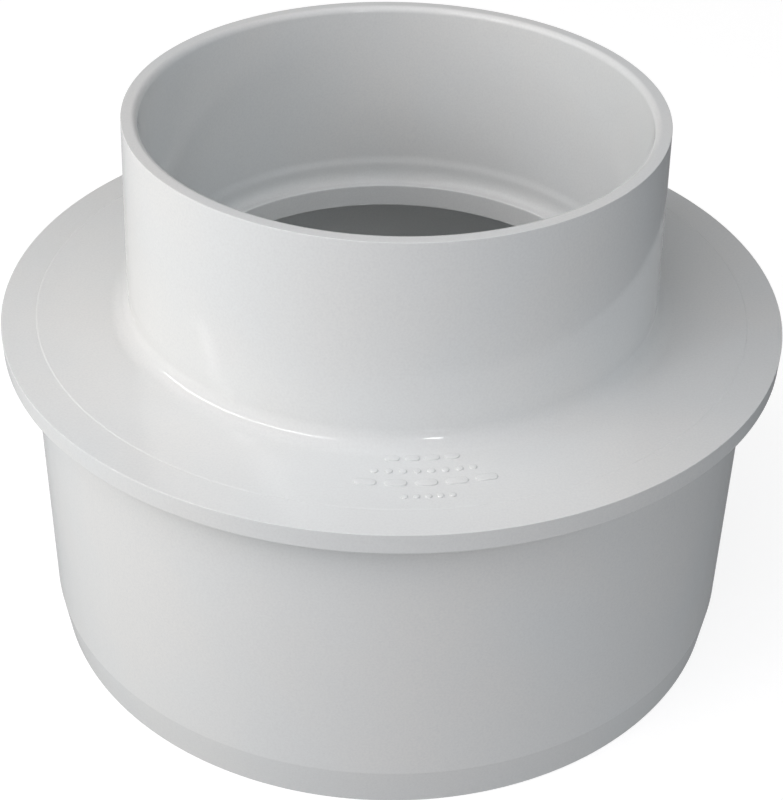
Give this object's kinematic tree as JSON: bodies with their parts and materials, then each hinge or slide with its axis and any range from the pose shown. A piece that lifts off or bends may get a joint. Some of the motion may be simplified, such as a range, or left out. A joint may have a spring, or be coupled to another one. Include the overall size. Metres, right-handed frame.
{
  "type": "concentric reducer",
  "caption": "Concentric pipe reducer: a socket for a small pipe stands on a flat shoulder flange above a larger spigot with a tapered end, moulded in glossy white PVC.",
  "frame": {"origin": "centre of the spigot's open end, on the plane it stands on", "axes": "+Z along the bore, from the spigot towards the socket; X and Y are any two radial directions, because the part is round"},
  "size_m": [0.1718, 0.1718, 0.1236],
  "materials": {
    "white_pvc": "glossy moulded surface with a very fine mottle"
  },
  "bodies": {
    "root": {"socket_collar": "white_pvc", "pipe_stop": "white_pvc", "shoulder_flange": "white_pvc", "flange_rim": "white_pvc", "spigot_skirt": "white_pvc", "spigot_nose": "white_pvc"}
  },
  "joints": []
}
